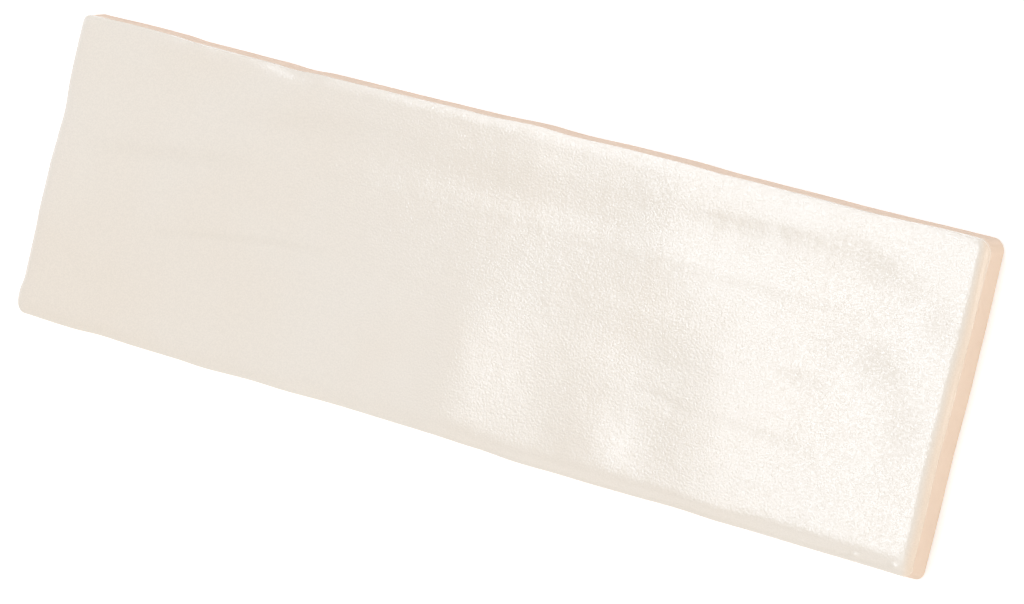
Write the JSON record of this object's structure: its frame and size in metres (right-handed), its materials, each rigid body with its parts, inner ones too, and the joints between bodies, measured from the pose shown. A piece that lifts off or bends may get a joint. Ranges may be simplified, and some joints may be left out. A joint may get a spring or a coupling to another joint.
{
  "type": "subway tile",
  "caption": "Long rectangular glazed ceramic wall tile with a gently waving cream face, rolled glaze edges, bare clay sides and a keyed back for adhesive.",
  "frame": {"origin": "middle of the back, on the plane that the back's ribs lie in", "axes": "+X along the length, +Y across the width, +Z out of the glazed face"},
  "size_m": [0.2003, 0.0652, 0.0084],
  "materials": {
    "glazed_tile": "cream satin glaze with fine orange peel on a pale peach clay body"
  },
  "bodies": {
    "root": {"subway_tile": "glazed_tile"}
  },
  "joints": []
}
